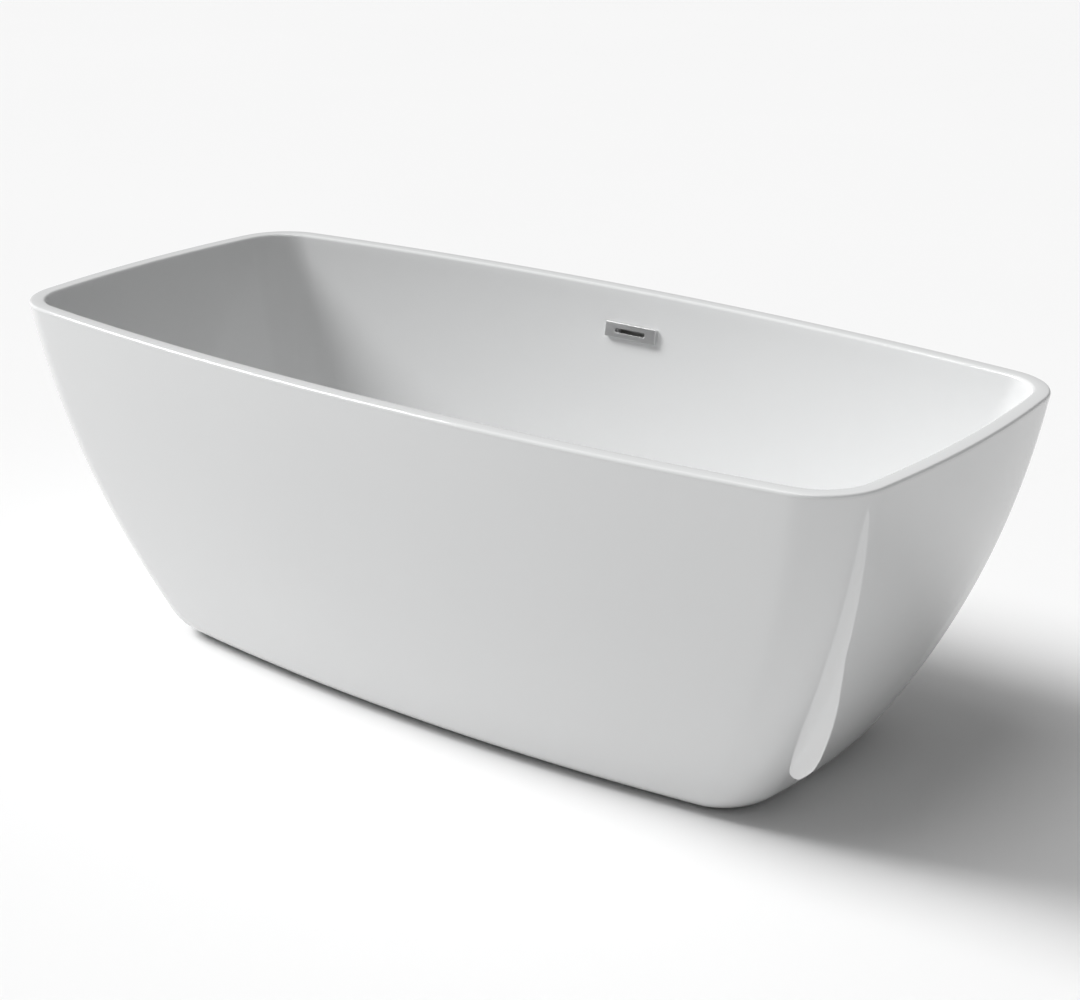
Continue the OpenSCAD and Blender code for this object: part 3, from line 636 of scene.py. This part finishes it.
def make_waste():
    """The chrome flange in the floor and the domed push plug on it."""
    low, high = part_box("waste_flange")
    lip = high.z - flange_lip
    tail, bore, outer = flange_tail_radius, flange_bore_radius, high.x
    profile = rounded([(bore, low.z), (tail, low.z), (tail, lip), (outer, lip), (outer, high.z - 0.3 * MM),
                       (outer - 2 * flange_chamfer, high.z), (bore + flange_chamfer, high.z),
                       (bore, high.z - flange_chamfer), (bore, low.z)], 0.5 * MM)
    bm = bmesh.new()
    lathe(bm, profile[:-1], 96)
    piece("waste_ring", bm, materials["chrome_trim"], replaces=["waste_flange"])
    low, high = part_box("plug_cap")
    rise = high.z - low.z
    dome = []
    for turn in steps(0, dome_turn, CURVE_STEPS):
        share = 1 - dome_share * (1 - math.cos(turn))
        dome.append((high.x * dome_reach * math.sin(turn), low.z + rise * share))
    rim = rounded([dome[-1], (high.x, low.z + 0.45 * rise), (high.x, low.z + 0.2 * rise),
                   (high.x - 1 * MM, low.z), (0.5 * MM, low.z)], 0.5 * MM)
    bm = bmesh.new()
    lathe(bm, [(0, high.z)] + dome[1:-1] + rim + [(0, low.z)], 96)
    piece("plug_dome", bm, materials["chrome_trim"], body="plug", replaces=["plug_cap"])


def make_studs():
    """Levelling studs with a real thread and a hexagon for the spanner."""
    pitch, root, crest = thread_pitch, thread_root_radius, thread_radius
    for name in [n for n in frame["nodes"] if n.startswith("foot_stud_")]:
        low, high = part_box(name)
        middle = (low + high) / 2
        hex_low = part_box(name.replace("stud", "pad"))[1].z + 1 * MM
        bm = bmesh.new()
        sides, rows = 24, int((high.z - low.z) / (pitch / 6))
        rings = []
        for z in steps(low.z, high.z, rows):
            ring = []
            ends = min(1, (z - low.z) / pitch, (high.z - z) / pitch)
            for j in range(sides):
                turn = 2 * math.pi * j / sides
                phase = (z / pitch - j / sides) % 1
                # The tooth's height at this turn: a flat crest, two slopes and a flat root
                tooth = min(1, max(0, 1.25 - abs(phase * 2 - 1) * 1.6))
                radius = root + (crest - root) * tooth * ends
                ring.append(Vector((radius * math.cos(turn), radius * math.sin(turn), z)))
            rings.append(ring)
        skin(bm, rings, capped=True)
        hex_high = hex_low + hexagon_height
        outer, edge, core = hexagon_radius, hexagon_radius - hexagon_chamfer, 5 * MM
        hexagon = rounded([(core, hex_low), (edge, hex_low), (outer, hex_low + hexagon_chamfer),
                           (outer, hex_high - hexagon_chamfer), (edge, hex_high), (core, hex_high)],
                          0.2 * MM, 1)
        skin(bm, lathe_rings(hexagon, 6), closed=True)
        bmesh.ops.translate(bm, vec=(middle.x, middle.y, 0), verts=bm.verts)
        piece(name.replace("foot", "threaded"), bm, materials["zinc_steel"],
              body=frame["nodes"][name]["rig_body"], replaces=[name], sharp_degrees=50)


def make_hose():
    """The corrugated overflow hose, along the same route as its CAD solid."""
    low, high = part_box("overflow_hose")
    radius = high.x
    route = [(333, 352), (324.5, 322), (316, 292), (306, 262), (295.5, 232), (284.5, 205), (273, 180),
             (259, 156), (242, 135), (222, 117), (200, 104), (176, 96), (150, 92.5), (124, 92), (98, 92),
             (72, 92), (48, 92)]
    points = [Vector((0, y * MM, z * MM)) for y, z in route]
    away = (points[0] - points[1]).normalized()
    points.insert(0, points[0] + away * hose_in_coupling)
    rib_steps = 6
    path = smooth_path(points, rib_pitch / rib_steps)
    cuff_steps = round(cuff_length / rib_pitch * rib_steps)
    radii = []
    for i in range(len(path)):
        cuff = min(i, len(path) - 1 - i) < cuff_steps
        rib = rib_mean + rib_swing * math.cos(2 * math.pi * i / rib_steps)
        radii.append(radius * (cuff_share if cuff else rib))
    bm = bmesh.new()
    skin(bm, tube_rings(path, radii, 24, Vector((1, 0, 0))), capped=True)
    piece("ribbed_hose", bm, materials["grey_plastic"], replaces=["overflow_hose"],
          sharp_degrees=60)


make_shells()
make_waste()
make_studs()
make_hose()

cad_finish(["overflow_cover"], "brushed_trim", 0.5 * MM)
cad_finish(["base_board"], "board_wood", 0.8 * MM)
cad_finish(["rail_front", "rail_back", "cross_members"], "zinc_steel", 1.2 * MM)
cad_finish(["foot_brackets", "skirt_brackets", "weld_nuts", "lock_nuts", "frame_screws", "bracket_screws",
            "skirt_screws", "hose_clip", "overflow_screws", "plug_stem"], "zinc_steel", 0.4 * MM)
cad_finish(["rail_end_caps", "plug_cartridge"], "black_plastic", 0.5 * MM)
cad_finish([n for n in frame["nodes"] if n.startswith("foot_pad_")], "black_plastic", 0.6 * MM)
cad_finish(["plug_spring"], "chrome_trim", 0.05 * MM)
cad_finish(["waste_body", "trap_bowl", "trap_nut", "outlet_nut", "outlet_pipe", "overflow_body"],
           "white_plastic", 0.6 * MM)
cad_finish(["overflow_carrier"], "carrier_plastic", 0.4 * MM)
cad_finish(["waste_top_seal", "waste_bottom_seal", "plug_seal", "trap_seal", "outlet_seal", "overflow_gasket",
            "overflow_coupling"], "black_rubber", 0.3 * MM)


# The studio, in metres

floor_reach = 60
world_strength = 0.2

# The camera's place, how far it looks down and round in radians, and its lens in millimetres
camera_place = (2.16712, -2.74466, 1.62489)
camera_down = 0.357374
camera_round = 0.652807
camera_lens = 74.56


def make_floor():
    """A pale matt floor, wide enough that its far edge shows only in views from low down."""
    bm = bmesh.new()
    bmesh.ops.create_grid(bm, x_segments=2, y_segments=2, size=floor_reach)
    mesh = bpy.data.meshes.new("studio_floor")
    bm.to_mesh(mesh)
    bm.free()
    floor = bpy.data.objects.new("studio_floor", mesh)
    bpy.context.scene.collection.objects.link(floor)
    s = Surface("studio_floor", Roughness=0.9)
    s.shader.inputs["Specular IOR Level"].default_value = 0.1
    s.colour(s.blend(s.noise(0.8), (0.845, 0.845, 0.845), (0.86, 0.86, 0.86)))
    mesh.materials.append(s.material)


def distant_light(name, azimuth, elevation, strength, spread):
    """A very large, far softbox; azimuth runs from +X towards +Y, and all angles are in degrees."""
    light = bpy.data.lights.new(name, "SUN")
    light.energy = strength
    light.angle = math.radians(spread)
    obj = bpy.data.objects.new(name, light)
    turn, rise = math.radians(azimuth), math.radians(elevation)
    way = Vector((math.cos(turn) * math.cos(rise), math.sin(turn) * math.cos(rise), math.sin(rise)))
    obj.rotation_euler = way.to_track_quat("Z", "Y").to_euler()
    bpy.context.scene.collection.objects.link(obj)


def low_reflector(name, place, width, length, turn, power):
    """A strip light lying by the bath that shows only as a gleam in its gloss."""
    light = bpy.data.lights.new(name, "AREA")
    light.shape = "ELLIPSE"
    light.size = width
    light.size_y = length
    light.energy = power
    obj = bpy.data.objects.new(name, light)
    obj.location = place
    obj.rotation_euler = (math.pi, 0, turn)
    obj.visible_camera = False
    obj.visible_diffuse = False
    obj.visible_shadow = False
    bpy.context.scene.collection.objects.link(obj)


def make_studio():
    """A dim white world, three far softboxes, the corner's gleam and the floor."""
    world = bpy.data.worlds.new("studio")
    world.use_nodes = True
    world.node_tree.nodes["Background"].inputs["Color"].default_value = (1, 1, 1, 1)
    world.node_tree.nodes["Background"].inputs["Strength"].default_value = world_strength
    bpy.context.scene.world = world
    bpy.context.scene.view_settings.view_transform = "Standard"
    distant_light("key_left", 199, 40, 3.15, 24)
    distant_light("key_top", 240, 76, 0.75, 30)
    distant_light("fill_left", 184, 14, 0.35, 50)
    low_reflector("gleam_corner", (1.08, 0.02, 0.004), 0.92, 0.27, 0.14, 0.7)
    make_floor()


def make_camera():
    """The photograph's camera, as fitted to the bath's outline."""
    camera = bpy.data.cameras.new("camera")
    camera.sensor_fit = "HORIZONTAL"
    camera.sensor_width = 36
    camera.lens = camera_lens
    obj = bpy.data.objects.new("camera", camera)
    obj.location = camera_place
    obj.rotation_euler = (QUARTER_TURN - camera_down, 0, camera_round)
    bpy.context.scene.collection.objects.link(obj)
    bpy.context.scene.camera = obj


make_studio()
make_camera()
